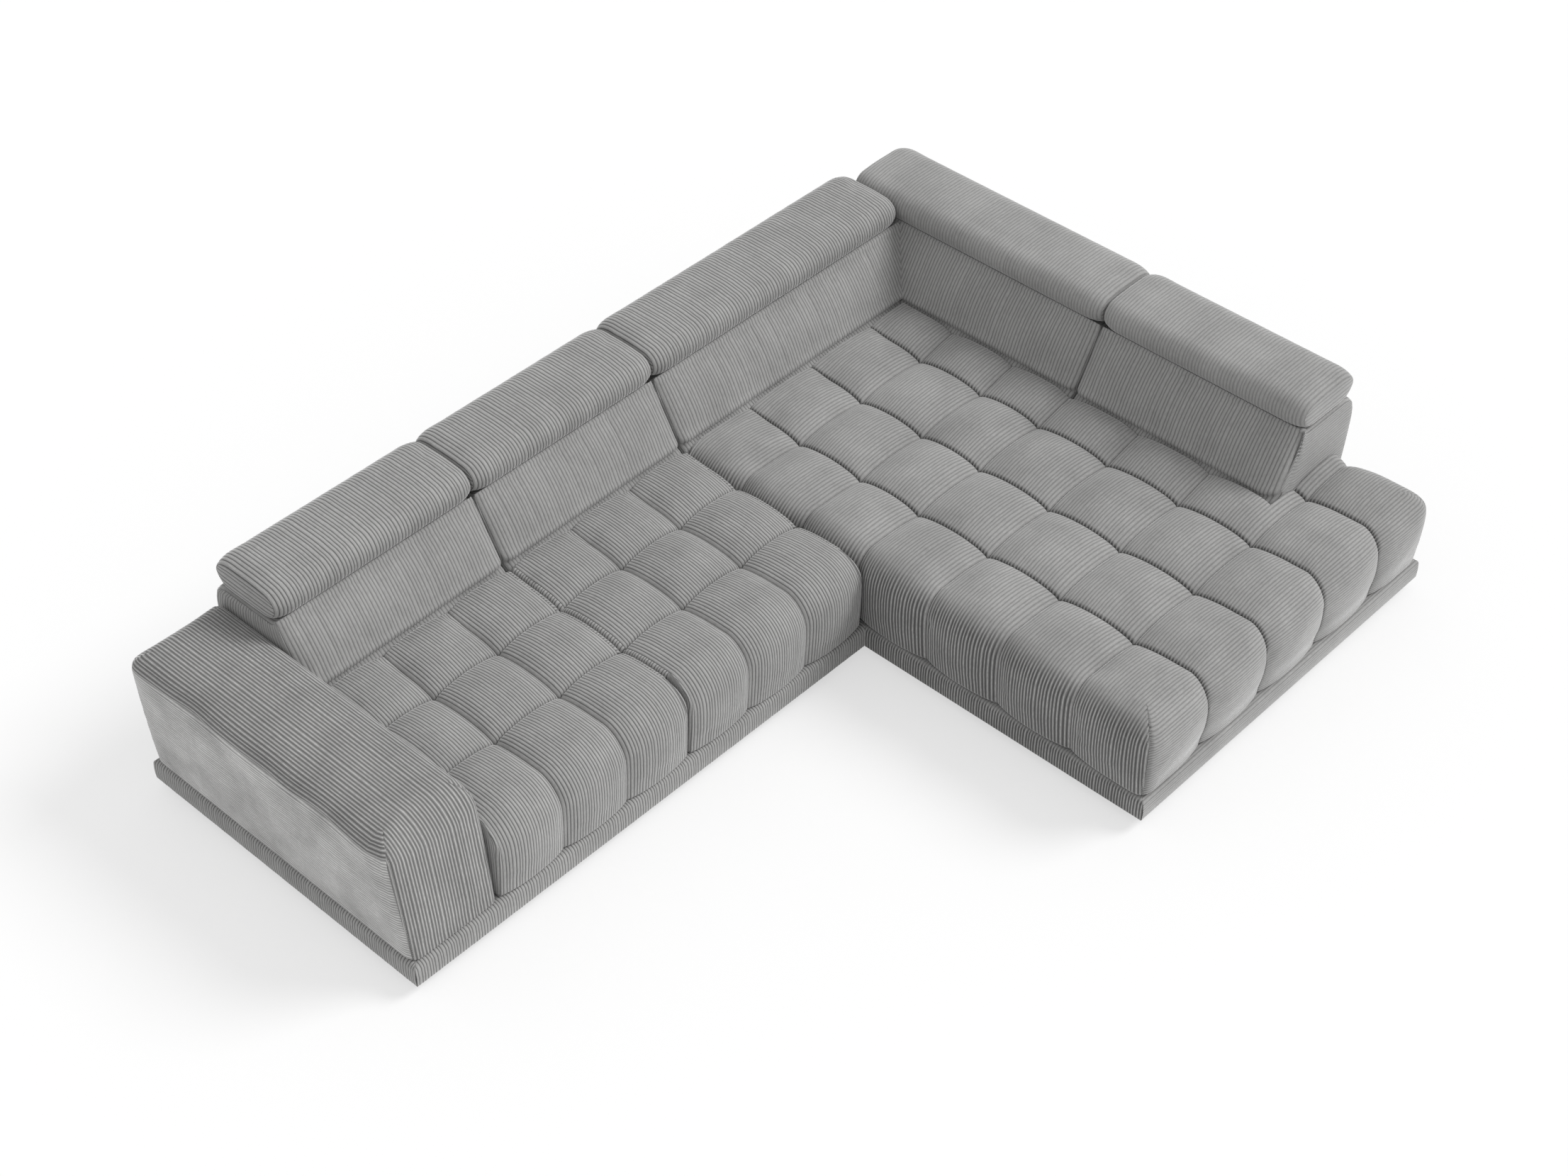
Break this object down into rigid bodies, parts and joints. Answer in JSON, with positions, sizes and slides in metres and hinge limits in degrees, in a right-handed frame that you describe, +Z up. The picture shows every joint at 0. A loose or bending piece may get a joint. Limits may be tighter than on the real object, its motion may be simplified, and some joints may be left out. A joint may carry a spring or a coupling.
{
  "type": "corner sofa",
  "caption": "Corner sofa with an arm and a long chaise, tufted corduroy seat cushions, leaning backs and headrests that tilt up on ratchet hinges.",
  "frame": {"origin": "middle of the footprint on the floor, under the feet", "axes": "+X along the rear run from the arm to the corner, +Y to the rear, +Z up"},
  "size_m": [3.398, 2.331, 0.718],
  "materials": {
    "corduroy": "wide-rib corduroy",
    "timber": "sawn softwood",
    "plywood": "sanded plywood",
    "steel": "zinc plated",
    "webbing": "woven elastic",
    "dust_cover": "non-woven",
    "feet": "moulded"
  },
  "bodies": {
    "sofa": {"main_frame": "timber", "corner_frame": "timber", "main_plinth_front": "corduroy", "main_plinth_side": "corduroy", "main_plinth_rear": "corduroy", "chaise_plinth_side": "corduroy", "chaise_plinth_end": "corduroy", "corner_plinth_side": "corduroy", "corner_plinth_rear": "corduroy", "feet": "feet", "main_dust_cover": "dust_cover", "corner_dust_cover": "dust_cover", "seat_box_1": "plywood", "seat_box_2": "plywood", "corner_box": "plywood", "seat_webbing_1": "webbing", "seat_webbing_2": "webbing", "corner_webbing": "webbing", "seat_cushion_1": "corduroy", "seat_cushion_2": "corduroy", "corner_cushion": "corduroy", "arm_frame": "timber", "arm_cushion": "corduroy", "back_frame_1": "timber", "back_frame_2": "timber", "back_frame_3": "timber", "back_frame_4": "timber", "back_frame_5": "timber", "back_cushion_1": "corduroy", "back_cushion_2": "corduroy", "back_cushion_3": "corduroy", "back_cushion_4": "corduroy", "back_cushion_5": "corduroy", "hinge_base_1": "steel", "hinge_base_2": "steel", "hinge_base_3": "steel", "hinge_base_4": "steel", "hinge_base_5": "steel", "hinge_pins": "steel", "hinge_screws": "steel", "module_bolts": "steel", "back_bolts": "steel"},
    "headrest_1": {"headrest_cushion_1": "corduroy", "headrest_board_1": "plywood", "hinge_arm_1": "steel"},
    "headrest_2": {"headrest_cushion_2": "corduroy", "headrest_board_2": "plywood", "hinge_arm_2": "steel"},
    "headrest_3": {"headrest_cushion_3": "corduroy", "headrest_board_3": "plywood", "hinge_arm_3": "steel"},
    "headrest_4": {"headrest_cushion_4": "corduroy", "headrest_board_4": "plywood", "hinge_arm_4": "steel"},
    "headrest_5": {"headrest_cushion_5": "corduroy", "headrest_board_5": "plywood", "hinge_arm_5": "steel"}
  },
  "joints": [
    {"name": "headrest_1_tilt", "type": "hinge", "parent": "sofa", "child": "headrest_1", "pos_m": [-0.9745, 0.9075, 0.657], "axis": [1, 0, 0], "range_deg": [0, 70]},
    {"name": "headrest_2_tilt", "type": "hinge", "parent": "sofa", "child": "headrest_2", "pos_m": [-0.1975, 0.9075, 0.657], "axis": [1, 0, 0], "range_deg": [0, 70]},
    {"name": "headrest_3_tilt", "type": "hinge", "parent": "sofa", "child": "headrest_3", "pos_m": [0.7115, 0.9075, 0.657], "axis": [1, 0, 0], "range_deg": [0, 70]},
    {"name": "headrest_4_tilt", "type": "hinge", "parent": "sofa", "child": "headrest_4", "pos_m": [1.441, 0.536, 0.657], "axis": [0, -1, 0], "range_deg": [0, 70]},
    {"name": "headrest_5_tilt", "type": "hinge", "parent": "sofa", "child": "headrest_5", "pos_m": [1.441, -0.416, 0.657], "axis": [0, -1, 0], "range_deg": [0, 70]}
  ]
}
